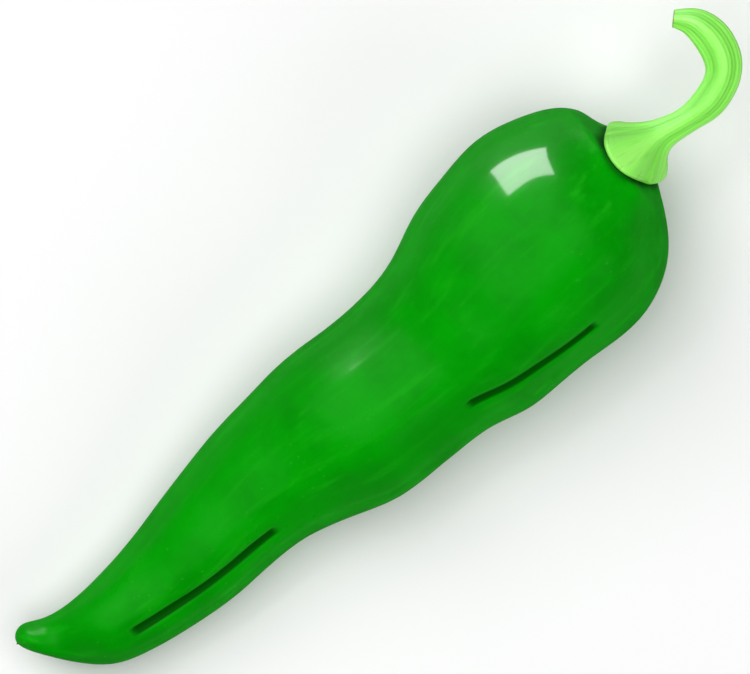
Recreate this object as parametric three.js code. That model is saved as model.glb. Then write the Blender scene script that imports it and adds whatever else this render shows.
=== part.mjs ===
// A green chilli pepper as picked, lying on its side: the long tapering pod, and the stem that is one
// growth with its cap, the calyx. Millimetres, +Z up. +X runs from the pod's tip to the stem, and +Y is the
// side the stem hooks towards. The origin is under the middle of the bounding box, on the surface that the
// pepper lies on.
import * as THREE from "three";

// The pod, measured at stations from the stem end to the tip: the place along X, the left (+Y) and right
// (-Y) edge as seen from above, and how far its underside is lifted off the surface. Where the lift is
// below zero, the skin is pressed flat: the pod lies on its belly and on its lower body. Between the
// stations all follows a smooth spline.
const POD_STEM_END = { x: 65.6, y: 2.0, z: 22.9 };
const POD_TIP = { x: -94.15, y: 8.4, z: 11.4 };
const POD_STATIONS = [
  { x: 65.0, left: 6.4, right: -2.4, lift: 19.1 },
  { x: 62.7, left: 10.4, right: -7.4, lift: 15.0 },
  { x: 60.9, left: 15.6, right: -11.2, lift: 11.1 },
  { x: 56.9, left: 19.5, right: -17.0, lift: 6.1 },
  { x: 50.2, left: 22.5, right: -22.3, lift: 1.9 },
  { x: 41.4, left: 24.4, right: -24.5, lift: -0.2 },
  { x: 31.9, left: 23.4, right: -24.2, lift: -0.3 },
  { x: 22.3, left: 21.3, right: -23.9, lift: 0.2 },
  { x: 14.0, left: 17.9, right: -23.3, lift: 0.9 },
  { x: 5.4, left: 15.8, right: -21.2, lift: 1.4 },
  { x: -4.9, left: 15.6, right: -20.6, lift: 1.5 },
  { x: -15.4, left: 16.2, right: -20.0, lift: 1.3 },
  { x: -26.2, left: 15.8, right: -16.7, lift: 1.0 },
  { x: -36.5, left: 14.8, right: -13.8, lift: 0.7 },
  { x: -46.8, left: 13.0, right: -13.3, lift: 0.2 },
  { x: -57.0, left: 10.8, right: -13.0, lift: -0.3 },
  { x: -67.2, left: 8.7, right: -11.7, lift: 0.2 },
  { x: -76.0, left: 8.0, right: -10.0, lift: 1.3 },
  { x: -82.5, left: 8.1, right: -7.1, lift: 2.6 },
  { x: -87.4, left: 9.4, right: -2.4, lift: 4.9 },
  { x: -91.2, left: 11.0, right: 2.5, lift: 7.8 },
];
const POD_FLATNESS = 0.84; // thickness over width at the shoulder; the tip is round
const ROUNDING_STATION = 11; // from here on the rings grow rounder, up to the tip
const STEM_END_LEAN = 12; // degrees that the rings lean back there, so the stem points up a little
const LEAN_STATIONS = 6;

// The long shallow furrows that part the pod's three lobes: the angle round the ring, from the left edge
// over the top, and the depth. They set in over the first stations, and towards the tip they grow shallow.
const FURROW_HALF_WIDTH = 19; // degrees
const SIDE_FURROW = { angle: 134, depth: 0.8 };
const LEFT_FURROW = { angle: 38, depth: 0.55 };
const UNDER_FURROW = { angle: 268, depth: 1.4 };
const FURROW_ONSET = { from: 0.5, to: 5 };
const FURROW_LOSS = { from: 13, share: 0.75 };

// The side furrow wanders: over two stretches of X it drifts down to the shoulder and up to the tip. It
// holds the two narrow creases.
const SHOULDER_DRIFT = { angle: 11.5, from: 4, to: 33 };
const TIP_DRIFT = { angle: 18, from: 31, to: 89 };
const CREASES = [
  { from: 5.8, to: 35.2 },
  { from: -74.7, to: -39.9 },
];
const CREASE_DEPTH = 0.7;
const CREASE_HALF_WIDTH = 1.0;
const CREASE_FADE = 1.8;

// The stem with its calyx, measured at stations from the calyx's rim to the cut end: a point on the inner
// edge of the hook, the point opposite on the outer edge, both seen from above, and the centre's height.
const STEM_STATIONS = [
  { inner: [63.6, 9.2], outer: [64.9, -5.9], z: 22.7 },
  { inner: [65.8, 7.5], outer: [66.9, -4.4], z: 23.2 },
  { inner: [69.2, 4.9], outer: [69.5, -2.6], z: 23.9 },
  { inner: [73.2, 3.0], outer: [73.2, -2.6], z: 24.7 },
  { inner: [77.0, 2.2], outer: [77.0, -3.2], z: 25.5 },
  { inner: [80.6, 2.6], outer: [81.0, -3.8], z: 26.3 },
  { inner: [83.4, 3.4], outer: [84.9, -3.2], z: 27.0 },
  { inner: [85.2, 4.5], outer: [88.6, -1.6], z: 27.6 },
  { inner: [86.1, 6.0], outer: [91.9, 1.4], z: 28.0 },
  { inner: [86.6, 7.8], outer: [93.7, 5.4], z: 28.2 },
  { inner: [86.9, 9.8], outer: [94.1, 9.4], z: 28.2 },
  { inner: [87.0, 11.8], outer: [93.2, 13.0], z: 28.0 },
  { inner: [86.8, 13.5], outer: [91.4, 15.6], z: 27.7 },
  { inner: [86.0, 15.3], outer: [88.6, 17.7], z: 27.4 },
];
const STEM_FLATNESS = 0.96;
const RIBS = 5;
const RIB_HEIGHT = 0.06; // of the stem's radius
const CALYX_STATIONS = 2.8; // how far up the stem the calyx's own shape has faded into it
const CALYX_GAP = 0.3; // between the calyx and the pod under it
const RIM_THICKNESS = 0.9;
const RIM_STATION = 1.55; // the pod station that the rim reaches at its sides
const RIM_TOP_TOOTH = { reach: 1.65, sharpness: 2.5 }; // the broad tooth on top, in stations
const RIM_TEETH = 0.12; // stations that the small teeth at the ribs' ends reach further
const RIM_INSET = 0.1; // stations that the rim's upper edge lies behind its outermost edge
const RIM_KNOB = { angle: 183, halfWidth: 22, height: 1.2 }; // the swollen corner of the rim on the right
const SEAT_SHARES = [0.96, 0.8, 0.6, 0.4, 0.2]; // rings under the calyx, as shares of the way to the rim
const CUT_CHAMFER = 0.35;
const CUT_SHARE = 0.86; // the flat cut face's radius over the stem's

// How finely the surfaces are faceted.
const POD_RINGS_PER_STATION = 2;
const CREASE_COLUMNS = [0.8, 1.8, 3.4]; // millimetres to either side of the crease line
const POD_COLUMNS = 21; // on each side of the crease line, out to the opposite side of the ring
const SMALLEST_RADIUS = 8; // on smaller rings the columns beside the crease line draw together
const STEM_RINGS_PER_STATION = 3;
const STEM_COLUMNS = 30;

const DEGREE = Math.PI / 180;
const UP = new THREE.Vector3(0, 0, 1);
const { clamp, lerp } = THREE.MathUtils;
const smooth = (value, low, high) => THREE.MathUtils.smoothstep(value, low, high);

// A cubic spline through evenly spaced values. With "flat" ends it leaves each end level, and with "free"
// ends straight.
function spline(values, ends) {
  const last = values.length - 1;
  const bend = values.map(() => 0);
  const relaxations = 60;
  const at = (list, i) => (i < 0 ? list[1] : i > last ? list[last - 1] : list[i]);
  for (let pass = 0; pass < relaxations; pass++)
    for (let i = 0; i <= last; i++) {
      const isEnd = i === 0 || i === last;
      if (isEnd && ends === "free") continue;
      const turn = at(values, i + 1) - 2 * values[i] + at(values, i - 1);
      bend[i] = (6 * turn - at(bend, i - 1) - at(bend, i + 1)) / 4;
    }
  return (u) => {
    const i = clamp(Math.floor(u), 0, last - 1);
    const b = u - i;
    const a = 1 - b;
    return (
      a * values[i] +
      b * values[i + 1] +
      ((a ** 3 - a) * bend[i] + (b ** 3 - b) * bend[i + 1]) / 6
    );
  };
}

// The pod's rings: their centre line starts and ends level, and their half width grows straight from
// nothing, so both ends of the pod are round.
const podColumn = (pick) => [pick.start, ...POD_STATIONS.map(pick.at), pick.end];
const podX = spline(podColumn({ start: POD_STEM_END.x, at: (s) => s.x, end: POD_TIP.x }), "flat");
const podY = spline(
  podColumn({ start: POD_STEM_END.y, at: (s) => (s.left + s.right) / 2, end: POD_TIP.y }),
  "flat",
);
const podHalfWidth = spline(
  podColumn({ start: 0, at: (s) => (s.left - s.right) / 2, end: 0 }),
  "free",
);
const TIP_STATION = POD_STATIONS.length + 1;

// Half the thickness of a ring, which follows the pod's width across its own direction, so the curling tip
// is slim.
function podHalfThickness(u) {
  const step = 0.1;
  const inside = clamp(u, step, TIP_STATION - step);
  const ahead = inside + step;
  const behind = inside - step;
  const turn = Math.atan2(podY(ahead) - podY(behind), Math.abs(podX(ahead) - podX(behind)));
  const flatness = lerp(POD_FLATNESS, 1, smooth(u, ROUNDING_STATION, TIP_STATION));
  return podHalfWidth(u) * flatness * Math.cos(turn);
}

// The angle of the furrow on the right of the pod, in degrees.
const sideFurrowAngle = (x) =>
  SIDE_FURROW.angle +
  SHOULDER_DRIFT.angle * smooth(x, SHOULDER_DRIFT.from, SHOULDER_DRIFT.to) -
  TIP_DRIFT.angle * smooth(-x, TIP_DRIFT.from, TIP_DRIFT.to);

const angleBetween = (a, b) => Math.abs(((((a - b) % 360) + 540) % 360) - 180);
const valley = (distance, halfWidth) => Math.exp(-((distance / halfWidth) ** 2));

// How far the skin lies inside the plain oval ring, in millimetres, at a station and an angle in degrees.
function furrowDepth(u, angle) {
  const x = podX(u);
  const radius = podHalfWidth(u);
  const onset = smooth(u, FURROW_ONSET.from, FURROW_ONSET.to);
  const loss = FURROW_LOSS.share * smooth(u, FURROW_LOSS.from, TIP_STATION - 1);
  const fade = onset * (1 - loss);
  const fromSide = angleBetween(angle, sideFurrowAngle(x));
  let depth = fade * SIDE_FURROW.depth * valley(fromSide, FURROW_HALF_WIDTH);
  for (const furrow of [LEFT_FURROW, UNDER_FURROW])
    depth += fade * furrow.depth * valley(angleBetween(angle, furrow.angle), FURROW_HALF_WIDTH);
  for (const crease of CREASES) {
    const along =
      smooth(x, crease.from - CREASE_FADE / 2, crease.from + CREASE_FADE / 2) *
      (1 - smooth(x, crease.to - CREASE_FADE / 2, crease.to + CREASE_FADE / 2));
    depth += along * CREASE_DEPTH * valley(fromSide * DEGREE * radius, CREASE_HALF_WIDTH);
  }
  return depth;
}

const furrowed = (u, angle) => 1 - furrowDepth(u, angle) / Math.max(podHalfWidth(u), 1);

// The height of the rings' centres: each ring's underside is at its lift.
const UNDERSIDE = 270;
const podZ = spline(
  [
    POD_STEM_END.z,
    ...POD_STATIONS.map((s, i) => s.lift + podHalfThickness(i + 1) * furrowed(i + 1, UNDERSIDE)),
    POD_TIP.z,
  ],
  "flat",
);

// A point of the pod's skin: an oval ring about the centre line, drawn in by the furrows, leaning back near
// the stem.
function podPoint(u, angle) {
  const inward = furrowed(u, angle);
  const across = podHalfWidth(u) * inward * Math.cos(angle * DEGREE);
  const upward = podHalfThickness(u) * inward * Math.sin(angle * DEGREE);
  const lean = STEM_END_LEAN * DEGREE * (1 - smooth(u, 0, LEAN_STATIONS));
  return new THREE.Vector3(
    podX(u) - upward * Math.sin(lean),
    podY(u) + across,
    podZ(u) + upward * Math.cos(lean),
  );
}

// The skin's outward direction, from its two tangents.
function podNormal(u, angle) {
  const step = 0.01;
  const near = Math.max(u, 2 * step);
  const along = podPoint(near + step, angle).sub(podPoint(near - step, angle));
  const around = podPoint(near, angle + 1).sub(podPoint(near, angle - 1));
  return around.cross(along).normalize().negate();
}

const podSkin = (u, angle, height) =>
  podPoint(u, angle).addScaledVector(podNormal(u, angle), height);

// A closed surface through rings of equally many points, shut by a point at each end.
function closedSurface(start, rings, end) {
  const columns = rings[0].length;
  const points = [start, ...rings.flat(), end];
  const index = [];
  const vertex = (ring, column) => 1 + ring * columns + (column % columns);
  for (let c = 0; c < columns; c++) {
    index.push(0, vertex(0, c), vertex(0, c + 1));
    for (let r = 0; r + 1 < rings.length; r++) {
      index.push(vertex(r, c), vertex(r + 1, c), vertex(r, c + 1));
      index.push(vertex(r, c + 1), vertex(r + 1, c), vertex(r + 1, c + 1));
    }
    index.push(vertex(rings.length - 1, c), points.length - 1, vertex(rings.length - 1, c + 1));
  }
  return new THREE.BufferGeometry().setFromPoints(points).setIndex(index);
}

const range = (count) => Array.from({ length: count }, (_, i) => i);

// Angles of one ring's points, in degrees: close together beside the crease line and even round the rest
// of the ring.
function podAngles(u) {
  const creaseAngle = sideFurrowAngle(podX(u));
  const radius = Math.max(podHalfWidth(u), SMALLEST_RADIUS);
  const close = CREASE_COLUMNS.map((distance) => distance / radius / DEGREE);
  const last = close.at(-1);
  const even = range(POD_COLUMNS).map((i) => lerp(last, 180, (i + 1) / POD_COLUMNS));
  const side = [...close, ...even];
  const otherSide = side.slice(0, -1).reverse();
  return [0, ...side, ...otherSide.map((a) => 360 - a)].map((a) => creaseAngle + a);
}

// The pod lies on the flat spots where its lowest skin is pressed level with the surface under it.
function podGeometry() {
  const ringCount = TIP_STATION * POD_RINGS_PER_STATION - 1;
  const rings = range(ringCount).map((i) => {
    const u = (i + 1) / POD_RINGS_PER_STATION;
    return podAngles(u).map((angle) => podPoint(u, angle));
  });
  for (const point of rings.flat()) point.z = Math.max(point.z, 0);
  return closedSurface(podPoint(0, 0), rings, podPoint(TIP_STATION, 0));
}

// The stem's inner and outer edge and its height, as splines over the stations.
const stemSpline = (pick) => spline(STEM_STATIONS.map(pick), "free");
const stemInnerX = stemSpline((s) => s.inner[0]);
const stemInnerY = stemSpline((s) => s.inner[1]);
const stemOuterX = stemSpline((s) => s.outer[0]);
const stemOuterY = stemSpline((s) => s.outer[1]);
const stemZ = stemSpline((s) => s.z);
const STEM_LAST = STEM_STATIONS.length - 1;

const ribWave = (angle) => Math.cos(RIBS * (angle - 90) * DEGREE);

// A point of the stem's skin, at a share of its radius: a ribbed round section between the inner and the
// outer edge.
function stemPoint(v, angle, share = 1) {
  const inner = new THREE.Vector3(stemInnerX(v), stemInnerY(v), stemZ(v));
  const outer = new THREE.Vector3(stemOuterX(v), stemOuterY(v), stemZ(v));
  const across = inner.clone().sub(outer).divideScalar(2);
  const ribbed = share * (1 + RIB_HEIGHT * ribWave(angle));
  return inner
    .add(outer)
    .divideScalar(2)
    .addScaledVector(across, ribbed * Math.cos(angle * DEGREE))
    .addScaledVector(UP, ribbed * STEM_FLATNESS * across.length() * Math.sin(angle * DEGREE));
}

// The pod station that the calyx's rim reaches at an angle: a broad tooth on top and a small one at the end
// of each rib.
function rimStation(angle) {
  const topTooth = Math.max(Math.sin(angle * DEGREE), 0) ** RIM_TOP_TOOTH.sharpness;
  return RIM_STATION + RIM_TOP_TOOTH.reach * topTooth + RIM_TEETH * ribWave(angle);
}

// How thick the calyx is at its rim: a little more where the right corner swells.
const rimThickness = (angle) =>
  RIM_THICKNESS + RIM_KNOB.height * valley(angleBetween(angle, RIM_KNOB.angle), RIM_KNOB.halfWidth);

// The stem's skin with the flared calyx: the stem's own section, drawn out near the rim to lie over the
// pod's shoulder.
function stemSkin(v, angle) {
  const point = stemPoint(v, angle);
  const rim = podSkin(rimStation(angle) - RIM_INSET, angle, CALYX_GAP + rimThickness(angle));
  const pull = (1 - smooth(v, 0, CALYX_STATIONS)) ** 2;
  return point.addScaledVector(rim.sub(stemPoint(0, angle)), pull);
}

// The stem from its cut end down to the rim, round the rim's edge, and back under the calyx to the middle
// of its seat.
function stemGeometry() {
  const angles = range(STEM_COLUMNS).map((i) => (360 * i) / STEM_COLUMNS);
  const ring = (place) => angles.map(place);
  const before = STEM_LAST - 0.1;
  const direction = stemPoint(STEM_LAST, 0)
    .add(stemPoint(STEM_LAST, 180))
    .sub(stemPoint(before, 0))
    .sub(stemPoint(before, 180))
    .normalize();
  const cutEnd = (angle, share) =>
    stemPoint(STEM_LAST, angle, share).addScaledVector(direction, CUT_CHAMFER);
  const steps = STEM_LAST * STEM_RINGS_PER_STATION;
  const outside = range(steps + 1).map((i) =>
    ring((angle) => stemSkin((steps - i) / STEM_RINGS_PER_STATION, angle)),
  );
  const edge = ring((angle) =>
    podSkin(rimStation(angle), angle, CALYX_GAP + rimThickness(angle) / 2),
  );
  const seat = SEAT_SHARES.map((share) =>
    ring((angle) => podSkin(share * rimStation(angle), angle, CALYX_GAP)),
  );
  const cutCentre = cutEnd(0, 0);
  const seatCentre = podPoint(0, 0).addScaledVector(podNormal(0, 0), CALYX_GAP);
  const rings = [ring((angle) => cutEnd(angle, CUT_SHARE)), ...outside, edge, ...seat];
  return closedSurface(cutCentre, rings, seatCentre);
}

const podSkinMaterial = new THREE.MeshStandardMaterial({
  name: "pod_skin",
  color: 0x009700,
  roughness: 0.25,
  metalness: 0,
});
const stemSkinMaterial = new THREE.MeshStandardMaterial({
  name: "stem_skin",
  color: 0x99ff66,
  roughness: 0.5,
  metalness: 0,
});

function mesh(name, geometry, material) {
  const made = new THREE.Mesh(geometry, material);
  made.name = name;
  return made;
}

const chilli = new THREE.Group();
chilli.name = "chilli_pepper";
chilli.add(mesh("pod", podGeometry(), podSkinMaterial));
chilli.add(mesh("stem", stemGeometry(), stemSkinMaterial));

export default chilli;
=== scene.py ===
"""The looks of a green chilli pepper as picked: its long wavy pod, and the hooked stem with its calyx.

Sizes are in millimetres in the part's own frame, +X from the pod's tip to the stem, +Y to the side that
the stem hooks to and +Z up. They become metres where a mesh, a light or the camera is made.
"""

from __future__ import annotations

import logging
import math
from collections.abc import Sequence
from dataclasses import dataclass, field
from enum import Enum

import bpy
import numpy as np
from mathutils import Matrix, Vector


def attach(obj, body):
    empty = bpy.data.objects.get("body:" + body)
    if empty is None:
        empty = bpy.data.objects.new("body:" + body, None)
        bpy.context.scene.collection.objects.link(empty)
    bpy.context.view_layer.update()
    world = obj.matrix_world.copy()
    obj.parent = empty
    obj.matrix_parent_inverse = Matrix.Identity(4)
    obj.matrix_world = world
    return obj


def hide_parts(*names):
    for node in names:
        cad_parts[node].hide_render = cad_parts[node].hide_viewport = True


MILLIMETRE = 0.001
BODY = "root"
LOG = logging.getLogger("chilli")

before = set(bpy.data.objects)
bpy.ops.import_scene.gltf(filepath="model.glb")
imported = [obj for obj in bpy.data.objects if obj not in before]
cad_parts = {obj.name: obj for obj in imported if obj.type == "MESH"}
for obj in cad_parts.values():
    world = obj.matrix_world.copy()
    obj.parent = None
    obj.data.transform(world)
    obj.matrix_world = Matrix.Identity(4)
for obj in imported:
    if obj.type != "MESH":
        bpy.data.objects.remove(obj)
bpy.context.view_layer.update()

Colour = tuple[float, float, float, float]


def smooth(value: np.ndarray | float, low: float, high: float) -> np.ndarray:
    """A smooth step: 3 t^2 - 2 t^3, where t runs from 0 at low to 1 at high.

    Args:
        value: where to take the step's height.
        low: the step is 0 up to here.
        high: the step is 1 from here on.

    Returns:
        The step's height, from 0 to 1.
    """
    t = np.clip((np.asarray(value, float) - low) / (high - low), 0.0, 1.0)
    return t * t * (3.0 - 2.0 * t)


def valley(distance: np.ndarray, half_width: float) -> np.ndarray:
    """A bell curve, exp(-(distance / half width)^2).

    Args:
        distance: how far each point is from the valley's line.
        half_width: where the curve has fallen to 37% of its depth.

    Returns:
        The share of the valley's depth, from 0 to 1.
    """
    return np.exp(-((distance / half_width) ** 2))


def angle_between(a: np.ndarray | float, b: np.ndarray | float) -> np.ndarray:
    """The angle between two directions round a ring, from 0 to 180 degrees.

    Args:
        a: one direction in degrees.
        b: the other direction in degrees.

    Returns:
        The smaller angle between them.
    """
    return np.abs((np.asarray(a) - b + 540.0) % 360.0 - 180.0)


def unit(vectors: np.ndarray) -> np.ndarray:
    """Vectors scaled to length 1.

    Args:
        vectors: an array whose last axis is x, y, z.

    Returns:
        The array of directions.
    """
    return vectors / np.linalg.norm(vectors, axis=-1, keepdims=True)


def ripple(points: np.ndarray, wavelength: float, waves: int, seed: int) -> np.ndarray:
    """Soft noise in space: the mean of plane waves sin(k . p + phase) with random directions and phases.

    Args:
        points: the places, in millimetres, with x, y, z on the last axis.
        wavelength: the mean distance between crests.
        waves: how many waves are added up.
        seed: the seed of the random draw.

    Returns:
        The noise, mostly between -1 and 1.
    """
    draw = np.random.default_rng(seed)
    directions = unit(draw.normal(size=(waves, 3)))
    lengths = wavelength * draw.uniform(0.7, 1.4, size=waves)
    phases = draw.uniform(0.0, 2.0 * math.pi, size=waves)
    turns = points @ (directions * (2.0 * math.pi / lengths)[:, None]).T + phases
    return np.sin(turns).sum(axis=-1) / math.sqrt(waves)


class Ends(Enum):
    """How a spline runs into its two ends."""

    LEVEL = "level"
    FREE = "free"


class Spline:
    """A cubic spline through evenly spaced values, which stand at 0, 1, 2 and so on."""

    def __init__(self, values: Sequence[float], ends: Ends) -> None:
        """Solves bend[i-1] + 4 bend[i] + bend[i+1] = 6 (v[i+1] - 2 v[i] + v[i-1]).

        The bends are the second derivatives. A level end mirrors the values; a free end has no bend.

        Args:
            values: what the spline passes through.
            ends: how it runs into its ends.
        """
        self.values = np.asarray(values, float)
        count = len(self.values)
        system = 4.0 * np.eye(count) + np.eye(count, k=1) + np.eye(count, k=-1)
        mirrored = np.concatenate([self.values[1:2], self.values, self.values[-2:-1]])
        turn = 6.0 * (mirrored[2:] - 2.0 * self.values + mirrored[:-2])
        if ends is Ends.LEVEL:
            system[0, 1] = 2.0
            system[-1, -2] = 2.0
        else:
            for end in (0, -1):
                system[end] = 0.0
                system[end, end] = 1.0
                turn[end] = 0.0
        self.bend = np.linalg.solve(system, turn)

    def __call__(self, u: np.ndarray | float) -> np.ndarray:
        """The spline's value at each place.

        Args:
            u: the places, from 0 to the number of the last value.

        Returns:
            The values there.
        """
        u = np.asarray(u, float)
        i = np.clip(np.floor(u).astype(int), 0, len(self.values) - 2)
        b = u - i
        a = 1.0 - b
        straight = a * self.values[i] + b * self.values[i + 1]
        return straight + ((a**3 - a) * self.bend[i] + (b**3 - b) * self.bend[i + 1]) / 6.0


@dataclass(frozen=True)
class PodStation:
    """One measured ring of the pod: its place, its edges from above, and its underside's lift."""

    x: float
    left: float
    right: float
    lift: float


@dataclass(frozen=True)
class Furrow:
    """A long shallow furrow between two lobes: its angle from the ring's left edge, and its depth."""

    angle: float
    depth: float


@dataclass(frozen=True)
class Drift:
    """How many degrees the side furrow drifts round the ring, over a stretch along X."""

    angle: float
    start: float
    end: float


@dataclass(frozen=True)
class Crease:
    """A narrow crease in the side furrow, between two places along X."""

    start: float
    end: float


@dataclass(frozen=True)
class Skin:
    """A finished surface: a ring of points for each step along it, and named values for each point."""

    start: np.ndarray
    rings: np.ndarray
    end: np.ndarray
    values: dict[str, np.ndarray]

    def make(self, name: str) -> bpy.types.Object:
        """Builds the closed mesh, with quads between the rings and a fan of triangles at each end.

        Args:
            name: the piece's name.

        Returns:
            The object, at the origin, with its values as point attributes.
        """
        ring_count, columns, _ = self.rings.shape
        points = np.concatenate([[self.start], self.rings.reshape(-1, 3), [self.end]])
        index = 1 + np.arange(ring_count * columns).reshape(ring_count, columns)
        turned = np.roll(index, -1, axis=1)
        quads = np.stack([index[:-1], index[1:], turned[1:], turned[:-1]], axis=-1)
        first = np.stack([np.zeros(columns, int), index[0], turned[0]], axis=-1)
        last = np.stack([index[-1], np.full(columns, len(points) - 1), turned[-1]], axis=-1)
        faces = quads.reshape(-1, 4).tolist() + first.tolist() + last.tolist()
        mesh = bpy.data.meshes.new(name)
        mesh.from_pydata((points * MILLIMETRE).tolist(), [], faces)
        for label, value in self.values.items():
            flat = value.reshape(ring_count * columns, -1)
            at_start = flat[:columns].mean(axis=0, keepdims=True)
            at_end = flat[-columns:].mean(axis=0, keepdims=True)
            whole = np.concatenate([at_start, flat, at_end])
            kind, field_name = ("FLOAT", "value") if flat.shape[1] == 1 else ("FLOAT_VECTOR", "vector")
            layer = mesh.attributes.new(label, kind, "POINT")
            layer.data.foreach_set(field_name, np.ascontiguousarray(whole, np.float32).ravel())
        mesh.polygons.foreach_set("use_smooth", np.ones(len(mesh.polygons), bool))
        mesh.update()
        made = bpy.data.objects.new(name, mesh)
        bpy.context.scene.collection.objects.link(made)
        return made


@dataclass
class Pod:
    """The long pod: oval rings about a wandering centre line, drawn in by furrows, creases and folds."""

    stem_end: tuple[float, float, float] = (65.6, 2.0, 22.9)
    tip: tuple[float, float, float] = (-94.15, 8.4, 11.4)
    stations: tuple[PodStation, ...] = (
        PodStation(65.0, 6.4, -2.4, 19.1),
        PodStation(62.7, 10.4, -7.4, 15.0),
        PodStation(60.9, 15.6, -11.2, 11.1),
        PodStation(56.9, 19.5, -17.0, 6.1),
        PodStation(50.2, 22.5, -22.3, 1.9),
        PodStation(41.4, 24.4, -24.5, -0.2),
        PodStation(31.9, 23.4, -24.2, -0.3),
        PodStation(22.3, 21.3, -23.9, 0.2),
        PodStation(14.0, 17.9, -23.3, 0.9),
        PodStation(5.4, 15.8, -21.2, 1.4),
        PodStation(-4.9, 15.6, -20.6, 1.5),
        PodStation(-15.4, 16.2, -20.0, 1.3),
        PodStation(-26.2, 15.8, -16.7, 1.0),
        PodStation(-36.5, 14.8, -13.8, 0.7),
        PodStation(-46.8, 13.0, -13.3, 0.2),
        PodStation(-57.0, 10.8, -13.0, -0.3),
        PodStation(-67.2, 8.7, -11.7, 0.2),
        PodStation(-76.0, 8.0, -10.0, 1.3),
        PodStation(-82.5, 8.1, -7.1, 2.6),
        PodStation(-87.4, 9.4, -2.4, 4.9),
        PodStation(-91.2, 11.0, 2.5, 7.8),
    )
    flatness: float = 0.84
    rounding_station: float = 11.0
    stem_end_lean: float = 12.0
    lean_stations: float = 6.0
    bottom: float = 270.0
    furrow_half_width: float = 19.0
    side_furrow: Furrow = Furrow(134.0, 0.8)
    shoulder_drift: Drift = Drift(11.5, 4.0, 33.0)
    tip_drift: Drift = Drift(-18.0, -31.0, -89.0)
    furrows: tuple[Furrow, ...] = (Furrow(38.0, 0.55), Furrow(268.0, 1.4))
    furrow_onset: tuple[float, float] = (0.5, 5.0)
    furrow_loss: float = 0.75
    furrow_loss_from: float = 13.0
    creases: tuple[Crease, ...] = (Crease(5.8, 35.2), Crease(-74.7, -39.9))
    crease_depth: float = 0.7
    crease_half_width: float = 1.0
    crease_fade: float = 1.8
    # how far round from a crease line its painted shade is full, and where it ends, in millimetres
    crease_shade_core: float = 0.75
    crease_shade_edge: float = 1.25
    pucker_depth: float = 0.28
    puckers: tuple[int, ...] = (7, 11, 16)
    pucker_phase: float = 1.7
    pucker_onset: tuple[float, float] = (0.5, 2.0)
    pucker_end: tuple[float, float] = (2.4, 5.6)
    wax_end: tuple[float, float] = (17.5, 20.0)
    scar_onset: float = 0.16
    scar_full: float = 0.06
    dent_depth: float = 0.34
    dent_length: float = 17.0
    dent_waves: int = 24
    dent_onset: float = 3.0
    dent_seed: int = 5
    least_radius: float = 2.0
    rings_per_station: int = 15
    columns: int = 270
    column_crowding: float = 0.4
    last: int = field(init=False)
    x: Spline = field(init=False)
    y: Spline = field(init=False)
    z: Spline = field(init=False)
    half_width: Spline = field(init=False)

    def __post_init__(self) -> None:
        """Lays the splines through the stations, the height last because it needs the thickness."""
        stations = self.stations
        middle = [(s.left + s.right) / 2 for s in stations]
        half = [(s.left - s.right) / 2 for s in stations]
        self.last = len(stations) + 1
        self.x = Spline([self.stem_end[0], *[s.x for s in stations], self.tip[0]], Ends.LEVEL)
        self.y = Spline([self.stem_end[1], *middle, self.tip[1]], Ends.LEVEL)
        self.half_width = Spline([0.0, *half, 0.0], Ends.FREE)
        numbers = np.arange(1, self.last, dtype=float)
        below = np.full(len(numbers), self.bottom)
        underside = self.half_thickness(numbers) * self.furrowed(numbers, below)
        heights = [s.lift for s in stations] + underside
        self.z = Spline([self.stem_end[2], *heights, self.tip[2]], Ends.LEVEL)

    def half_thickness(self, u: np.ndarray) -> np.ndarray:
        """Half a ring's height: the half width, times the flatness and the cosine of the centre line's turn.

        Args:
            u: the stations, counted from the stem end.

        Returns:
            The half height in millimetres.
        """
        step = 0.1
        inside = np.clip(u, step, self.last - step)
        rise = self.y(inside + step) - self.y(inside - step)
        run = np.abs(self.x(inside + step) - self.x(inside - step))
        flatness = self.flatness + (1.0 - self.flatness) * smooth(u, self.rounding_station, self.last)
        return self.half_width(u) * flatness * np.cos(np.arctan2(rise, run))

    def side_furrow_angle(self, x: np.ndarray) -> np.ndarray:
        """Where the furrow on the right runs: down towards the shoulder, and up towards the tip.

        Args:
            x: the places along X.

        Returns:
            The angle round the ring in degrees.
        """
        angle = self.side_furrow.angle
        for drift in (self.shoulder_drift, self.tip_drift):
            angle = angle + drift.angle * smooth(x, drift.start, drift.end)
        return angle

    def crease_run(self, u: np.ndarray) -> np.ndarray:
        """Where along the pod the creases run: 1 between a crease's ends, fading to 0 beyond them.

        Args:
            u: the stations.

        Returns:
            The share of a crease's depth that is reached there.
        """
        x = self.x(u)
        fade = self.crease_fade / 2
        share = np.zeros_like(x)
        for crease in self.creases:
            starts = smooth(x, crease.start - fade, crease.start + fade)
            share = share + starts * (1.0 - smooth(x, crease.end - fade, crease.end + fade))
        return share

    def from_crease(self, u: np.ndarray, angle: np.ndarray) -> np.ndarray:
        """How far round the skin a point lies from the crease line, in millimetres.

        Args:
            u: the stations.
            angle: the angles round the ring.

        Returns:
            The distances.
        """
        beside = angle_between(angle, self.side_furrow_angle(self.x(u)))
        return np.radians(beside) * self.half_width(u)

    def furrow_share(self, u: np.ndarray, angle: np.ndarray) -> np.ndarray:
        """How deep a point lies in the furrows between the lobes, from 0 on a lobe to 1 in a furrow.

        Args:
            u: the stations.
            angle: the angles round the ring.

        Returns:
            The share of a furrow's depth.
        """
        lines = [self.side_furrow_angle(self.x(u)), *[furrow.angle for furrow in self.furrows]]
        return sum(valley(angle_between(angle, line), self.furrow_half_width) for line in lines)

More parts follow.
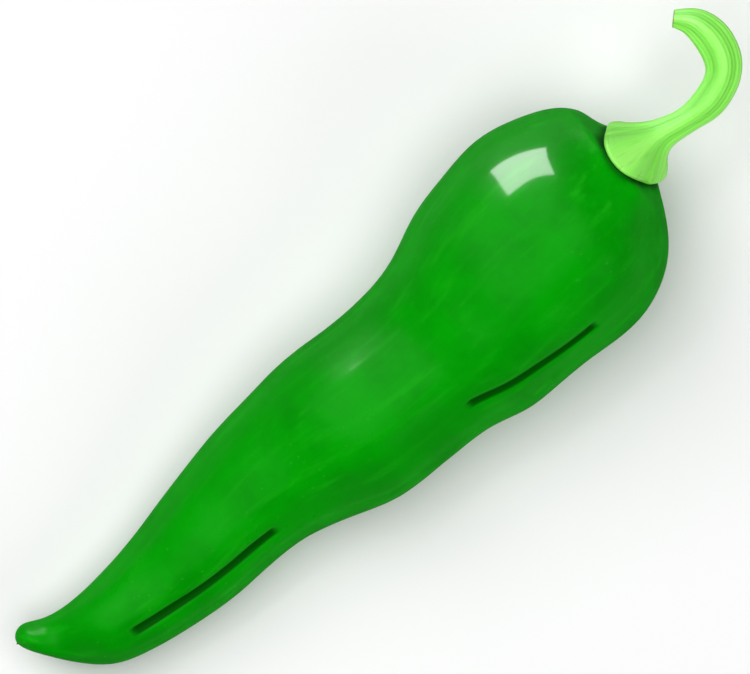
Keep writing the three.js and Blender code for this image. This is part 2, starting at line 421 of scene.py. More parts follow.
    def furrowed(self, u: np.ndarray, angle: np.ndarray) -> np.ndarray:
        """The share of a ring's radius that the furrows and creases leave.

        Args:
            u: the stations.
            angle: the angles round the ring.

        Returns:
            The share, a little under 1 in a furrow.
        """
        loss = self.furrow_loss * smooth(u, self.furrow_loss_from, self.last - 1)
        fade = smooth(u, *self.furrow_onset) * (1.0 - loss)
        beside = angle_between(angle, self.side_furrow_angle(self.x(u)))
        depth = fade * self.side_furrow.depth * valley(beside, self.furrow_half_width)
        for furrow in self.furrows:
            beside = angle_between(angle, furrow.angle)
            depth = depth + fade * furrow.depth * valley(beside, self.furrow_half_width)
        crease = valley(self.from_crease(u, angle), self.crease_half_width)
        depth = depth + self.crease_depth * self.crease_run(u) * crease
        return 1.0 - depth / np.maximum(self.half_width(u), 1.0)

    def point(self, u: np.ndarray, angle: np.ndarray) -> np.ndarray:
        """A point of the skin: a furrowed oval ring about the centre line, which leans back near the stem.

        Args:
            u: the stations.
            angle: the angles round the ring, from the left edge over the top.

        Returns:
            The points in millimetres.
        """
        turn = np.radians(angle)
        inward = self.furrowed(u, angle)
        across = self.half_width(u) * inward * np.cos(turn)
        upward = self.half_thickness(u) * inward * np.sin(turn)
        lean = math.radians(self.stem_end_lean) * (1.0 - smooth(u, 0, self.lean_stations))
        x = self.x(u) - upward * np.sin(lean)
        z = self.z(u) + upward * np.cos(lean)
        return np.stack([x, self.y(u) + across, z], axis=-1)

    def normal(self, u: np.ndarray, angle: np.ndarray) -> np.ndarray:
        """The skin's outward direction, the cross product of its two tangents.

        Args:
            u: the stations.
            angle: the angles round the ring.

        Returns:
            The directions.
        """
        step = 0.01
        near = np.maximum(u, 2 * step)
        along = self.point(near + step, angle) - self.point(near - step, angle)
        around = self.point(near, angle + 1.0) - self.point(near, angle - 1.0)
        return unit(np.cross(along, around))

    def raised(self, u: np.ndarray, angle: np.ndarray, height: np.ndarray | float) -> np.ndarray:
        """A point at a height over the skin.

        Args:
            u: the stations.
            angle: the angles round the ring.
            height: how far outside the skin, in millimetres.

        Returns:
            The points.
        """
        return self.point(u, angle) + self.normal(u, angle) * np.asarray(height)[..., None]

    def angles(self, u: np.ndarray) -> np.ndarray:
        """The angles of a ring's points: crease + 180 (k t + (1 - k) t^3), with t from -1 to 1.

        They crowd towards the crease, where t is 0.

        Args:
            u: the stations, one for each ring.

        Returns:
            One row of angles for each ring.
        """
        t = np.linspace(-1.0, 1.0, self.columns, endpoint=False)
        spread = 180.0 * (self.column_crowding * t + (1.0 - self.column_crowding) * t**3)
        return self.side_furrow_angle(self.x(u))[:, None] + spread[None, :]

    def puckered(self, u: np.ndarray, angle: np.ndarray) -> np.ndarray:
        """The folds that the shoulder draws into the calyx: the mean of a few cosines round the ring.

        Args:
            u: the stations.
            angle: the angles round the ring.

        Returns:
            How far the folds lie inside the skin, in millimetres.
        """
        turn = np.radians(angle)
        waves = [np.cos(count * turn + self.pucker_phase * count) for count in self.puckers]
        fold = 0.5 + 0.5 * sum(waves) / len(waves)
        share = smooth(u, *self.pucker_onset) * (1.0 - smooth(u, *self.pucker_end))
        return self.pucker_depth * share * fold

    def dented(self, points: np.ndarray, u: np.ndarray) -> np.ndarray:
        """The pod's small dents: soft noise, which fades out under the calyx.

        Args:
            points: the places on the plain skin.
            u: the stations.

        Returns:
            How far the dents lie inside the skin, in millimetres.
        """
        noise = np.tanh(ripple(points, self.dent_length, self.dent_waves, self.dent_seed))
        return self.dent_depth * smooth(u, 0.0, self.dent_onset) * 0.5 * (1.0 + noise)

    def build(self, stem: Stem) -> bpy.types.Object:
        """Makes the pod's mesh, with its puckers and dents, and pressed flat where it lies.

        Args:
            stem: the stem, round whose calyx's rim shade is painted on the skin.

        Returns:
            The piece.
        """
        steps = self.last * self.rings_per_station
        rows = np.arange(1, steps, dtype=float) / self.rings_per_station
        angle = self.angles(rows)
        u = np.broadcast_to(rows[:, None], angle.shape)
        rings = self.point(u, angle)
        inward = self.puckered(u, angle) + self.dented(rings, u)
        rings = rings - self.normal(u, angle) * inward[..., None]
        rings[..., 2] = np.maximum(rings[..., 2], 0.0)
        radius = np.maximum(self.half_width(u), self.least_radius)
        turn = np.radians(angle)
        flow = np.stack([radius * np.cos(turn), radius * np.sin(turn), self.x(u)], axis=-1)
        # painted shade: the skin is darkened along each crease line
        painted_crease_shade = 1.0 - smooth(self.from_crease(u, angle), self.crease_shade_core, self.crease_shade_edge)
        values = {
            "flow": flow,
            "crease": self.crease_run(u) * painted_crease_shade,
            # the furrows' share, which the finish turns into painted shade
            "furrow": self.furrow_share(u, angle),
            # painted shade on the skin round the calyx's rim
            "painted_rim_shade": stem.painted_shade_beside_rim(u, angle),
            "tip_scar": smooth(u, self.last - self.scar_onset, self.last - self.scar_full),
            "wax": 1.0 - smooth(u, *self.wax_end),
        }
        ends = np.array([0.0, float(self.last)])
        start, end = self.point(ends, np.zeros(2))
        return Skin(start, rings, end, values).make("pod_skin")


@dataclass(frozen=True)
class StemStation:
    """One measured section of the stem: the ends of its chord on the hook's two edges, and its height."""

    inner: tuple[float, float]
    outer: tuple[float, float]
    z: float


@dataclass
class Stem:
    """The hooked stem and its calyx, grown as one: ribbed sections that flare over the pod's end."""

    pod: Pod
    stations: tuple[StemStation, ...] = (
        StemStation((63.6, 9.2), (64.9, -5.9), 22.7),
        StemStation((65.8, 7.5), (66.9, -4.4), 23.2),
        StemStation((69.2, 4.9), (69.5, -2.6), 23.9),
        StemStation((73.2, 3.0), (73.2, -2.6), 24.7),
        StemStation((77.0, 2.2), (77.0, -3.2), 25.5),
        StemStation((80.6, 2.6), (81.0, -3.8), 26.3),
        StemStation((83.4, 3.4), (84.9, -3.2), 27.0),
        StemStation((85.2, 4.5), (88.6, -1.6), 27.6),
        StemStation((86.1, 6.0), (91.9, 1.4), 28.0),
        StemStation((86.6, 7.8), (93.7, 5.4), 28.2),
        StemStation((86.9, 9.8), (94.1, 9.4), 28.2),
        StemStation((87.0, 11.8), (93.2, 13.0), 28.0),
        StemStation((86.8, 13.5), (91.4, 15.6), 27.7),
        StemStation((86.0, 15.3), (88.6, 17.7), 27.4),
    )
    flatness: float = 0.96
    ribs: int = 5
    rib_height: float = 0.06
    fine_ribs: int = 25
    fine_rib_height: float = 0.012
    calyx_stations: float = 2.8
    rim_height: float = 1.2
    rim_station: float = 1.55
    rim_top_tooth: float = 1.65
    rim_tooth_sharpness: float = 2.5
    rim_teeth: float = 0.12
    rim_inset: float = 0.1
    knob_angle: float = 183.0
    knob_half_width: float = 22.0
    knob_height: float = 1.2
    # how far the painted shade beside the calyx's rim reaches, in pod stations
    painted_shade_stations: float = 0.3
    sunk: float = 0.08
    seat_shares: tuple[float, ...] = (0.8, 0.6, 0.4, 0.2)
    cut_chamfer: float = 0.35
    cut_dish: float = 0.2
    cut_shares: tuple[float, ...] = (0.12, 0.28, 0.44, 0.6, 0.74, 0.85, 0.92, 0.97)
    cut_forward: tuple[float, ...] = (1.0, 1.0, 1.0, 1.0, 1.0, 1.0, 0.85, 0.5)
    mean_radius: float = 3.0
    station_length: float = 3.6
    rings_per_station: int = 20
    lip_rings: int = 12
    columns: int = 180
    last: int = field(init=False)
    inner_x: Spline = field(init=False)
    inner_y: Spline = field(init=False)
    outer_x: Spline = field(init=False)
    outer_y: Spline = field(init=False)
    z: Spline = field(init=False)

    def __post_init__(self) -> None:
        """Lays the splines along the two edges and the height."""
        self.last = len(self.stations) - 1
        self.inner_x = Spline([s.inner[0] for s in self.stations], Ends.FREE)
        self.inner_y = Spline([s.inner[1] for s in self.stations], Ends.FREE)
        self.outer_x = Spline([s.outer[0] for s in self.stations], Ends.FREE)
        self.outer_y = Spline([s.outer[1] for s in self.stations], Ends.FREE)
        self.z = Spline([s.z for s in self.stations], Ends.FREE)

    def rib_wave(self, angle: np.ndarray) -> np.ndarray:
        """The ribs' crests and grooves round the stem, with one crest on top."""
        return np.cos(self.ribs * np.radians(angle - 90.0))

    def point(self, v: np.ndarray, angle: np.ndarray, share: np.ndarray | float = 1.0) -> np.ndarray:
        """A point at a share of the stem's radius: a ribbed oval across the chord between the two edges.

        Args:
            v: the stations, counted from the calyx's rim.
            angle: the angles round the section, from the inner edge over the top.
            share: the share of the radius.

        Returns:
            The points.
        """
        inner = np.stack([self.inner_x(v), self.inner_y(v), self.z(v)], axis=-1)
        outer = np.stack([self.outer_x(v), self.outer_y(v), self.z(v)], axis=-1)
        across = (inner - outer) / 2.0
        height = self.flatness * np.linalg.norm(across, axis=-1)
        fine = self.fine_rib_height * np.cos(self.fine_ribs * np.radians(angle))
        ribbed = share * (1.0 + self.rib_height * self.rib_wave(angle) + fine)
        turn = np.radians(angle)
        made = (inner + outer) / 2.0 + across * (ribbed * np.cos(turn))[..., None]
        made[..., 2] += ribbed * height * np.sin(turn)
        return made

    def rim_reach(self, angle: np.ndarray) -> np.ndarray:
        """The pod station that the rim reaches, with a broad tooth on top and a small one at each rib's end.

        Args:
            angle: the angles round the pod's ring.

        Returns:
            The stations.
        """
        top_tooth = np.maximum(np.sin(np.radians(angle)), 0.0) ** self.rim_tooth_sharpness
        return self.rim_station + self.rim_top_tooth * top_tooth + self.rim_teeth * self.rib_wave(angle)

    def rim_top(self, angle: np.ndarray) -> np.ndarray:
        """How high the rim stands over the pod's skin: more where its right corner swells into a knob.

        Args:
            angle: the angles round the rim.

        Returns:
            The heights.
        """
        knob = valley(angle_between(angle, self.knob_angle), self.knob_half_width)
        return self.rim_height + self.knob_height * knob

    def painted_shade_beside_rim(self, u: np.ndarray, angle: np.ndarray) -> np.ndarray:
        """The painted shade on the pod's skin beside the calyx's rim, where shade falls in the crevice: 1
        under the calyx, fading outside it.

        Args:
            u: the pod stations.
            angle: the angles round the pod's ring.

        Returns:
            The painted shade, from 0 to 1.
        """
        beyond = np.maximum(u - self.rim_reach(angle), 0.0)
        return valley(beyond, self.painted_shade_stations)

    def skin(self, v: np.ndarray, angle: np.ndarray) -> np.ndarray:
        """The outside: the stem's section, pulled near the rim to the flare over the pod's shoulder.

        Args:
            v: the stations.
            angle: the angles round the section.

        Returns:
            The points.
        """
        rim = self.pod.raised(self.rim_reach(angle) - self.rim_inset, angle, self.rim_top(angle))
        pull = (1.0 - smooth(v, 0, self.calyx_stations)) ** 2
        start = self.point(np.zeros_like(v), angle)
        return self.point(v, angle) + (rim - start) * pull[..., None]

    def cut_end(self, angle: np.ndarray) -> tuple[np.ndarray, np.ndarray]:
        """The cut end's rings, from near the pith out to the chamfer, and each ring's share of the radius.

        The face is dished: it lies lowest at the pith, by the dish's depth times 1 - share^2.

        Args:
            angle: the angles round the section.

        Returns:
            The rings, and their shares.
        """
        shares = np.array(self.cut_shares)
        forward = np.array(self.cut_forward) * self.cut_chamfer
        dish = self.cut_dish * (1.0 - shares**2)
        step = 0.1
        v = np.full((len(shares), len(angle)), float(self.last))
        rings = self.point(v, np.broadcast_to(angle, v.shape), shares[:, None])
        back = self.point(v[:1] - step, angle[None]).mean(axis=1)
        direction = unit(self.point(v[:1], angle[None]).mean(axis=1) - back)
        return rings + direction[:, None, :] * (forward - dish)[:, None, None], shares

    def lip(self, angle: np.ndarray) -> np.ndarray:
        """The rounded edge of the calyx: half a turn from the rim's top to its foot in the pod's skin.

        Args:
            angle: the angles round the rim.

        Returns:
            The rings.
        """
        t = np.linspace(0.0, 1.0, self.lip_rings + 1)[1:, None]
        reach = self.rim_reach(angle)[None, :]
        station = reach - self.rim_inset + self.rim_inset * np.sin(math.pi * t)
        rise = (1.0 + np.cos(math.pi * t)) / 2.0
        height = -self.sunk + (self.rim_top(angle)[None, :] + self.sunk) * rise
        return self.pod.raised(station, np.broadcast_to(angle, station.shape), height)

    def seat(self, angle: np.ndarray) -> np.ndarray:
        """The underside of the calyx, sunk a little in the pod's skin, which it has grown together with.

        Args:
            angle: the angles round the rim.

        Returns:
            The rings, from the lip's foot inwards.
        """
        shares = np.array(self.seat_shares)[:, None]
        station = shares * (self.rim_reach(angle)[None, :] - self.rim_inset)
        return self.pod.raised(station, np.broadcast_to(angle, station.shape), -self.sunk)

    def build(self) -> bpy.types.Object:
        """Makes the mesh from the cut end down the outside, round the lip and back under the calyx.

        Returns:
            The piece.
        """
        angle = np.linspace(0.0, 360.0, self.columns, endpoint=False)
        steps = self.last * self.rings_per_station
        rows = np.arange(steps, -1, -1, dtype=float) / self.rings_per_station
        v = np.broadcast_to(rows[:, None], (len(rows), self.columns))
        wide = np.broadcast_to(angle, v.shape)
        cut, shares = self.cut_end(angle)
        outside = self.skin(v, wide)
        under = np.concatenate([self.lip(angle), self.seat(angle)])
        rings = np.concatenate([cut, outside, under])
        centre = cut[0].mean(axis=0)
        seat_centre = self.pod.raised(np.array(0.0), np.array(0.0), -self.sunk)
        along = np.concatenate([np.full(len(cut), rows[0]), rows, np.zeros(len(under))])
        share = np.concatenate([shares, np.ones(len(outside) + len(under))])
        every = np.broadcast_to(angle, (len(rings), self.columns))
        turn = np.radians(every)
        lengthwise = np.broadcast_to(along[:, None] * self.station_length, every.shape)
        around = (self.mean_radius * np.cos(turn), self.mean_radius * np.sin(turn))
        flow = np.stack([*around, lengthwise], axis=-1)
        on_cut = np.zeros(len(rings))
        on_cut[: len(cut)] = 1.0
        values = {
            "flow": flow,
            "rib": 0.5 + 0.5 * self.rib_wave(every),
            "cut": np.broadcast_to(on_cut[:, None], every.shape),
            "cut_share": np.broadcast_to(share[:, None], every.shape),
        }
        return Skin(centre, rings, seat_centre, values).make("stem_skin")


class Graph:
    """A node tree being filled in, with short ways to add nodes and join them."""

    def __init__(self, tree: bpy.types.NodeTree) -> None:
        """Keeps the tree.

        Args:
            tree: the material's or group's node tree.
        """
        self.tree = tree

    def add(
        self, kind: str, inputs: dict[str | int, object] | None = None, **settings: object
    ) -> bpy.types.Node:
        """Adds one node.

        Args:
            kind: the node's type.
            inputs: a value, or another node's output, for each input named.
            settings: the node's own settings.

        Returns:
            The node.
        """
        node = self.tree.nodes.new(kind)
        for key, value in settings.items():
            setattr(node, key, value)
        for key, value in (inputs or {}).items():
            if isinstance(value, bpy.types.NodeSocket):
                self.tree.links.new(value, node.inputs[key])
            else:
                node.inputs[key].default_value = value
        return node

    def sum(self, a: object, b: object) -> bpy.types.NodeSocket:
        """Adds two values."""
        return self.add("ShaderNodeMath", {0: a, 1: b}, operation="ADD").outputs[0]

    def product(self, a: object, b: object) -> bpy.types.NodeSocket:
        """Multiplies two values."""
        return self.add("ShaderNodeMath", {0: a, 1: b}, operation="MULTIPLY").outputs[0]

    def step(
        self, value: object, low: float, high: float, bottom: float = 0.0, top: float = 1.0
    ) -> bpy.types.NodeSocket:
        """A smooth step from bottom, at low, to top, at high.

        Args:
            value: what is read.
            low: where the step starts.
            high: where it ends.
            bottom: the height up to low.
            top: the height from high on.

        Returns:
            The step's height.
        """
        inputs = {"Value": value, "From Min": low, "From Max": high, "To Min": bottom, "To Max": top}
        return self.add("ShaderNodeMapRange", inputs, interpolation_type="SMOOTHSTEP").outputs[0]

    def blend(self, share: object, a: object, b: object) -> bpy.types.NodeSocket:
        """Mixes two colours.

        Args:
            share: how much of the second colour there is.
            a: the first colour.
            b: the second colour.

        Returns:
            The mixed colour.
        """
        first, second, result = 6, 7, 2
        node = self.add("ShaderNodeMix", {0: share, first: a, second: b}, data_type="RGBA")
        return node.outputs[result]

    def attribute(self, name: str) -> bpy.types.Node:
        """Reads one of the piece's own point attributes."""
        return self.add("ShaderNodeAttribute", attribute_name=name, attribute_type="GEOMETRY")

    def place(self, group: bpy.types.NodeTree, inputs: dict[str, object]) -> bpy.types.Node:
        """Places a node group with its own values.

        Args:
            group: the group.
            inputs: a value or an output for each of its inputs.

        Returns:
            The group's node.
        """
        return self.add("ShaderNodeGroup", inputs, node_tree=group)


def new_group(
    name: str, inputs: dict[str, str], outputs: dict[str, str]
) -> tuple[bpy.types.NodeTree, Graph]:
    """Starts a shader node group.

    Args:
        name: the group's name.
        inputs: the socket type of each input.
        outputs: the socket type of each output.

    Returns:
        The group, and a graph to fill it with.
    """
    group = bpy.data.node_groups.new(name, "ShaderNodeTree")
    for label, kind in inputs.items():
        group.interface.new_socket(label, in_out="INPUT", socket_type=kind)
    for label, kind in outputs.items():
        group.interface.new_socket(label, in_out="OUTPUT", socket_type=kind)
    return group, Graph(group)


def skin_grain_group() -> bpy.types.NodeTree:
    """The grain of a plant's skin: a soft peel-like height, and sparse round flecks.

    Returns:
        The group, with the grain's size in grains per metre as Scale.
    """
    group, graph = new_group(
        "skin_grain",
        {"Vector": "NodeSocketVector", "Scale": "NodeSocketFloat"},
        {"Height": "NodeSocketFloat", "Fleck": "NodeSocketFloat"},
    )
    given = graph.add("NodeGroupInput").outputs
    peel = graph.add("ShaderNodeTexNoise", {"Vector": given[0], "Scale": given[1], "Detail": 2.0})
    fine = graph.add(
        "ShaderNodeTexNoise", {"Vector": given[0], "Scale": graph.product(given[1], 3.1), "Detail": 1.0}
    )
    height = graph.sum(graph.product(peel.outputs[0], 0.75), graph.product(fine.outputs[0], 0.25))
    cells = graph.add("ShaderNodeTexVoronoi", {"Vector": given[0], "Scale": given[1]})
    dots = graph.step(cells.outputs["Distance"], 0.08, 0.2, 1.0, 0.0)
    few = graph.step(cells.outputs["Color"], 0.52, 0.66)
    patches = graph.add("ShaderNodeTexNoise", {"Vector": given[0], "Scale": graph.product(given[1], 0.07)})
    fleck = graph.product(graph.product(dots, few), graph.step(patches.outputs[0], 0.35, 0.6))
    graph.add("NodeGroupOutput", {0: height, 1: fleck})
    return group


def growth_streak_group() -> bpy.types.NodeTree:
    """Streaks that follow the growth: noise on the flow coordinates, squeezed across and stretched along.

    Returns:
        The group, with the streaks' length and width in millimetres.
    """
    group, graph = new_group(
        "growth_streaks",
        {"Flow": "NodeSocketVector", "Length": "NodeSocketFloat", "Width": "NodeSocketFloat"},
        {"Streak": "NodeSocketFloat"},
    )
    given = graph.add("NodeGroupInput").outputs
    across = graph.add("ShaderNodeMath", {0: 1.0, 1: given[2]}, operation="DIVIDE").outputs[0]
    along = graph.add("ShaderNodeMath", {0: 1.0, 1: given[1]}, operation="DIVIDE").outputs[0]
    scale = graph.add("ShaderNodeCombineXYZ", {0: across, 1: across, 2: along}).outputs[0]
    place = graph.add("ShaderNodeVectorMath", {0: given[0], 1: scale}, operation="MULTIPLY").outputs[0]
    noise = graph.add(
        "ShaderNodeTexNoise", {"Vector": place, "Scale": 1.0, "Detail": 3.0, "Roughness": 0.55}
    )
    graph.add("NodeGroupOutput", {0: noise.outputs[0]})
    return group


@dataclass(frozen=True)
class Finishes:
    """The two node groups that the finishes share."""

    grain: bpy.types.NodeTree
    streaks: bpy.types.NodeTree


@dataclass(frozen=True)
class PodFinish:
    """The glossy green skin of the pod, mottled and faintly streaked, with painted shade in its creases and
    furrows and round the calyx's rim.
    """

    # the mottle's dark tone, also the colour of the painted shade in the furrows
    deep: Colour = (0.0005, 0.28, 0.001, 1.0)
    green: Colour = (0.001, 0.365, 0.0015, 1.0)
    fresh: Colour = (0.012, 0.46, 0.008, 1.0)
    fleck: Colour = (0.06, 0.46, 0.04, 1.0)
    # the colour of the painted shade in the creases
    crease: Colour = (0.0, 0.085, 0.0, 1.0)
    scar: Colour = (0.10, 0.12, 0.03, 1.0)
    # the colour of the painted shade round the calyx's rim
    shade: Colour = (0.0, 0.05, 0.002, 1.0)
    mottle_scale: float = 55.0
    streak_length: float = 38.0
    streak_width: float = 2.6
    grain_scale: float = 620.0
    grain_depth: float = 0.0004
    gloss_roughness: float = 0.3
    wax_roughness: float = 0.09

    def make(self, shared: Finishes) -> bpy.types.Material:
        """Builds the material.

        Args:
            shared: the shared node groups.

        Returns:
            The material.
        """
        material = bpy.data.materials.new("pod_skin")
        material.use_nodes = True
        graph = Graph(material.node_tree)
        surface = material.node_tree.nodes["Principled BSDF"]
        place = graph.add("ShaderNodeTexCoord").outputs["Object"]
        flow = graph.attribute("flow").outputs["Vector"]
        mottle = graph.add(
            "ShaderNodeTexNoise",
            {"Vector": place, "Scale": self.mottle_scale, "Detail": 4.0, "Roughness": 0.6},
        )
        streaks = graph.place(
            shared.streaks, {"Flow": flow, "Length": self.streak_length, "Width": self.streak_width}
        )
        grain = graph.place(shared.grain, {"Vector": place, "Scale": self.grain_scale})
        colour = graph.blend(graph.step(mottle.outputs[0], 0.3, 0.62), self.deep, self.green)
        bright = graph.product(graph.step(streaks.outputs[0], 0.5, 0.8), 0.55)
        colour = graph.blend(bright, colour, self.fresh)
        colour = graph.blend(graph.product(grain.outputs["Fleck"], 0.35), colour, self.fleck)
        # painted shade: the skin is darkened in the furrows between the lobes
        painted_furrow_shade = graph.product(graph.attribute("furrow").outputs["Fac"], 0.35)
        colour = graph.blend(painted_furrow_shade, colour, self.deep)
        # painted shade in the creases
        colour = graph.blend(graph.attribute("crease").outputs["Fac"], colour, self.crease)
        colour = graph.blend(graph.attribute("tip_scar").outputs["Fac"], colour, self.scar)
        # painted shade: the skin darkens towards the calyx's rim
        rim = graph.product(graph.attribute("painted_rim_shade").outputs["Fac"], 0.88)
        colour = graph.blend(rim, colour, self.shade)
        dull = self.gloss_roughness + 0.06
        rough = graph.step(mottle.outputs[0], 0.3, 0.7, dull, dull - 0.1)
        bump = graph.add(
            "ShaderNodeBump",
            {"Height": grain.outputs["Height"], "Strength": 0.12, "Distance": self.grain_depth},
        )
        facing = graph.add("ShaderNodeLayerWeight", {"Blend": 0.5}).outputs["Facing"]
        waxed = graph.attribute("wax").outputs["Fac"]
        wax = graph.product(graph.step(facing, 0.26, 0.44, 1.0, 0.0), waxed)
        rough = graph.sum(rough, graph.step(facing, 0.3, 0.52, 0.0, 0.5))
        tree = material.node_tree
        tree.links.new(colour, surface.inputs["Base Color"])
        tree.links.new(rough, surface.inputs["Roughness"])
        tree.links.new(bump.outputs[0], surface.inputs["Normal"])
        tree.links.new(wax, surface.inputs["Coat Weight"])
        surface.inputs["Coat Roughness"].default_value = self.wax_roughness
        surface.inputs["IOR"].default_value = 1.45
        surface.inputs["Specular IOR Level"].default_value = 0.14
        return material


@dataclass(frozen=True)
class StemFinish:
    """The pale green stem: satin, ribbed and fibrous, with painted shade in its rib grooves, painted light
    on its rib crests, and a dry cut end.
    """

    green: Colour = (0.29, 0.95, 0.115, 1.0)
    # the colour of the painted shade in the rib grooves, and of the dark fibre threads
    groove_shade_and_thread_tone: Colour = (0.20, 0.73, 0.07, 1.0)
    # the colour of the painted light on the rib crests
    crest: Colour = (0.43, 1.0, 0.2, 1.0)
    pith: Colour = (0.72, 0.86, 0.42, 1.0)
    bark: Colour = (0.30, 0.42, 0.10, 1.0)
    fleck: Colour = (0.55, 0.9, 0.3, 1.0)
    fibre_length: float = 7.0
    fibre_width: float = 0.45
    thread_length: float = 3.0
    thread_width: float = 0.16
    grain_scale: float = 900.0
    relief: float = 0.0003
    roughness: float = 0.46

    def make(self, shared: Finishes) -> bpy.types.Material:
        """Builds the material.

        Args:
            shared: the shared node groups.

        Returns:
            The material.
        """
        material = bpy.data.materials.new("stem_skin")
        material.use_nodes = True
        graph = Graph(material.node_tree)
        surface = material.node_tree.nodes["Principled BSDF"]
        place = graph.add("ShaderNodeTexCoord").outputs["Object"]
        flow = graph.attribute("flow").outputs["Vector"]
        fibres = graph.place(
            shared.streaks, {"Flow": flow, "Length": self.fibre_length, "Width": self.fibre_width}
        )
        threads = graph.place(
            shared.streaks, {"Flow": flow, "Length": self.thread_length, "Width": self.thread_width}
        )
        grain = graph.place(shared.grain, {"Vector": place, "Scale": self.grain_scale})
        rib = graph.attribute("rib").outputs["Fac"]
        # painted shade in the rib grooves and painted light on the rib crests, mixed with the stem's own
        # fibre streaks
        ribbed = graph.sum(graph.product(rib, 0.6), graph.product(fibres.outputs[0], 0.6))
        colour = graph.blend(graph.step(ribbed, 0.15, 0.6), self.groove_shade_and_thread_tone, self.green)
        colour = graph.blend(graph.product(graph.step(ribbed, 0.65, 1.0), 0.6), colour, self.crest)
        dark_threads = graph.product(graph.step(threads.outputs[0], 0.5, 0.75), 0.5)
        colour = graph.blend(dark_threads, colour, self.groove_shade_and_thread_tone)
        colour = graph.blend(graph.product(grain.outputs["Fleck"], 0.4), colour, self.fleck)
        cut = graph.attribute("cut").outputs["Fac"]
        share = graph.attribute("cut_share").outputs["Fac"]
        face = graph.blend(graph.step(share, 0.55, 0.95), self.pith, self.bark)
        colour = graph.blend(cut, colour, face)
        rough = graph.step(fibres.outputs[0], 0.3, 0.7, self.roughness + 0.12, self.roughness - 0.06)
        fibrous = graph.product(fibres.outputs[0], 0.8)
        height = graph.sum(fibrous, graph.product(grain.outputs["Height"], 0.3))
        height = graph.sum(height, graph.product(threads.outputs[0], -0.5))
        bump = graph.add("ShaderNodeBump", {"Height": height, "Strength": 0.35, "Distance": self.relief})
        tree = material.node_tree
        tree.links.new(colour, surface.inputs["Base Color"])
        tree.links.new(rough, surface.inputs["Roughness"])
        tree.links.new(bump.outputs[0], surface.inputs["Normal"])
        surface.inputs["IOR"].default_value = 1.42
        return material


@dataclass(frozen=True)
class Softbox:
    """A soft rectangular light that faces a point: its direction from there, its distance and its size."""

    name: str
    target: tuple[float, float, float]
    azimuth: float
    elevation: float
    distance: float
    width: float
    height: float
    radiance: float
    lights_matt: bool = True
    shows_in_gloss: bool = True

    def make(self) -> bpy.types.Object:
        """Adds the light. Its power is its radiance times pi times its area.

        Returns:
            The light.
        """
        light = bpy.data.lights.new(self.name, "AREA")
        light.shape = "RECTANGLE"
        light.size = self.width * MILLIMETRE
        light.size_y = self.height * MILLIMETRE
        light.energy = self.radiance * math.pi * light.size * light.size_y
        turn = math.radians(self.azimuth)
        rise = math.radians(self.elevation)
        away = Vector((math.cos(rise) * math.cos(turn), math.cos(rise) * math.sin(turn), math.sin(rise)))
        made = bpy.data.objects.new(self.name, light)
        made.location = (Vector(self.target) + away * self.distance) * MILLIMETRE
        made.rotation_euler = (-away).to_track_quat("-Z", "Y").to_euler()
        made.visible_camera = False
        made.visible_diffuse = self.lights_matt
        made.visible_glossy = self.shows_in_gloss
        bpy.context.scene.collection.objects.link(made)
        return made


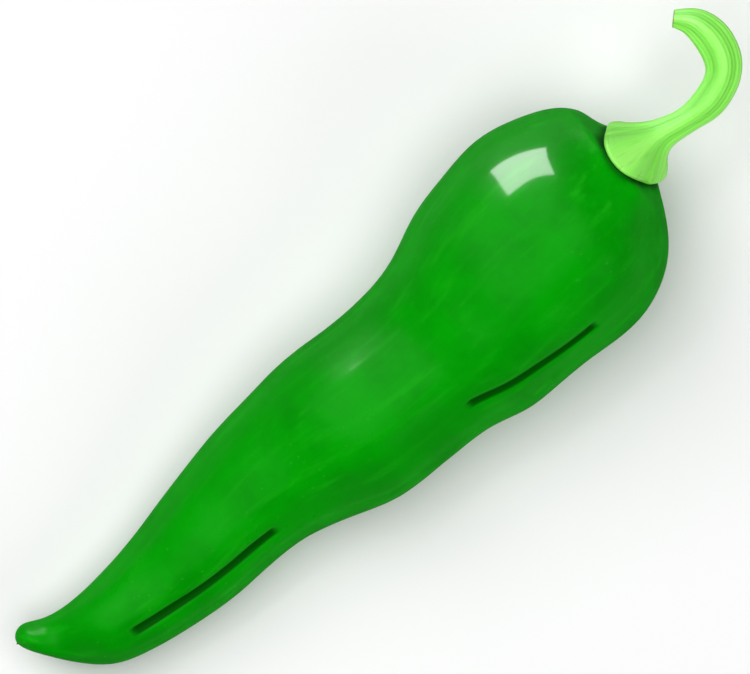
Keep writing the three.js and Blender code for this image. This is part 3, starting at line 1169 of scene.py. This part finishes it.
@dataclass(frozen=True)
class Studio:
    """The plain pale floor, the soft lights, the even surroundings and the camera straight above."""

    picture_width: float = 150.0
    picture_centre: tuple[float, float] = (0.5, 7.75)
    picture_turn: float = 41.0
    outline_height: float = 20.0
    lens: float = 960.0
    sensor: float = 36.0
    floor_half_size: float = 3000.0
    floor_tone: float = 0.93
    surroundings: float = 0.045
    floor_glow: float = 0.85
    glow_full: float = -0.75
    glow_end: float = -0.25
    middle: tuple[float, float, float] = (0.0, 0.0, 15.0)
    highlight: tuple[float, float, float] = (44.4, 13.4, 35.5)
    belly: tuple[float, float, float] = (0.0, -14.0, 15.0)

    def camera(self) -> bpy.types.Object:
        """Adds the camera. It looks straight down, with +X up to the right in the picture.

        Returns:
            The camera.
        """
        data = bpy.data.cameras.new("camera")
        data.lens = self.lens
        data.sensor_width = self.sensor
        distance = self.picture_width * self.lens / self.sensor
        made = bpy.data.objects.new("camera", data)
        place = Vector((*self.picture_centre, self.outline_height + distance))
        made.location = place * MILLIMETRE
        made.rotation_euler = (0.0, 0.0, -math.radians(self.picture_turn))
        bpy.context.scene.collection.objects.link(made)
        bpy.context.scene.camera = made
        return made

    def lights(self) -> list[bpy.types.Object]:
        """Adds the lights: a wide one overhead, a soft one on each side, and two for the gloss alone.

        These are a near window, and a card below, which stands for the bright floor.

        Returns:
            The lights.
        """
        boxes = (
            Softbox("overhead", self.middle, 0.0, 90.0, 1500.0, 1600.0, 1600.0, 2.55, shows_in_gloss=False),
            Softbox("left", self.middle, 95.0, 48.0, 1200.0, 800.0, 800.0, 3.2, shows_in_gloss=False),
            Softbox("right", self.middle, -80.0, 32.0, 1200.0, 700.0, 500.0, 2.8, shows_in_gloss=False),
            Softbox("window", self.highlight, 74.7, 20.6, 140.0, 134.0, 102.0, 8.8, lights_matt=False),
            Softbox("floor_card", self.belly, -84.0, -33.0, 260.0, 400.0, 100.0, 1.8, lights_matt=False),
        )
        return [box.make() for box in boxes]

    def floor(self) -> bpy.types.Object:
        """Adds the floor, which isn't part of the object.

        Returns:
            The floor.
        """
        half = self.floor_half_size * MILLIMETRE
        mesh = bpy.data.meshes.new("floor")
        corners = [(-half, -half, 0.0), (half, -half, 0.0), (half, half, 0.0), (-half, half, 0.0)]
        mesh.from_pydata(corners, [], [(0, 1, 2, 3)])
        material = bpy.data.materials.new("floor")
        material.use_nodes = True
        surface = material.node_tree.nodes["Principled BSDF"]
        tone = self.floor_tone
        surface.inputs["Base Color"].default_value = (tone, tone, tone, 1.0)
        surface.inputs["Roughness"].default_value = 1.0
        surface.inputs["Specular IOR Level"].default_value = 0.0
        mesh.materials.append(material)
        made = bpy.data.objects.new("floor", mesh)
        made.visible_glossy = False
        bpy.context.scene.collection.objects.link(made)
        return made

    def air(self) -> None:
        """Sets the even surroundings and a plain rendering of colours.

        The gloss sees the surroundings through the floor, where they brighten steeply below the horizon.
        """
        world = bpy.data.worlds.new("studio")
        world.use_nodes = True
        graph = Graph(world.node_tree)
        background = world.node_tree.nodes["Background"]
        direction = graph.add("ShaderNodeTexCoord").outputs["Generated"]
        height = graph.add("ShaderNodeSeparateXYZ", {0: direction}).outputs["Z"]
        glow = graph.step(height, self.glow_full, self.glow_end, self.floor_glow, self.surroundings)
        world.node_tree.links.new(glow, background.inputs["Strength"])
        bpy.context.scene.world = world
        bpy.context.scene.view_settings.view_transform = "Standard"


def dress(piece: bpy.types.Object, material: bpy.types.Material, node: str) -> None:
    """Gives a piece its material and sets it in the place of the plain node that it stands for.

    Args:
        piece: the piece.
        material: its material.
        node: the node that it replaces.
    """
    piece.data.materials.append(material)
    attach(piece, BODY)
    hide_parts(node)
    LOG.info("%s: %d faces, for %s", piece.name, len(piece.data.polygons), node)


def main() -> None:
    """Builds the studio and the two pieces, and dresses them."""
    logging.basicConfig(level=logging.INFO, format="%(message)s")
    studio = Studio()
    studio.camera()
    studio.air()
    studio.floor()
    studio.lights()
    shared = Finishes(skin_grain_group(), growth_streak_group())
    pod = Pod()
    stem = Stem(pod)
    dress(pod.build(stem), PodFinish().make(shared), "pod")
    dress(stem.build(), StemFinish().make(shared), "stem")


if __name__ == "__main__":
    main()
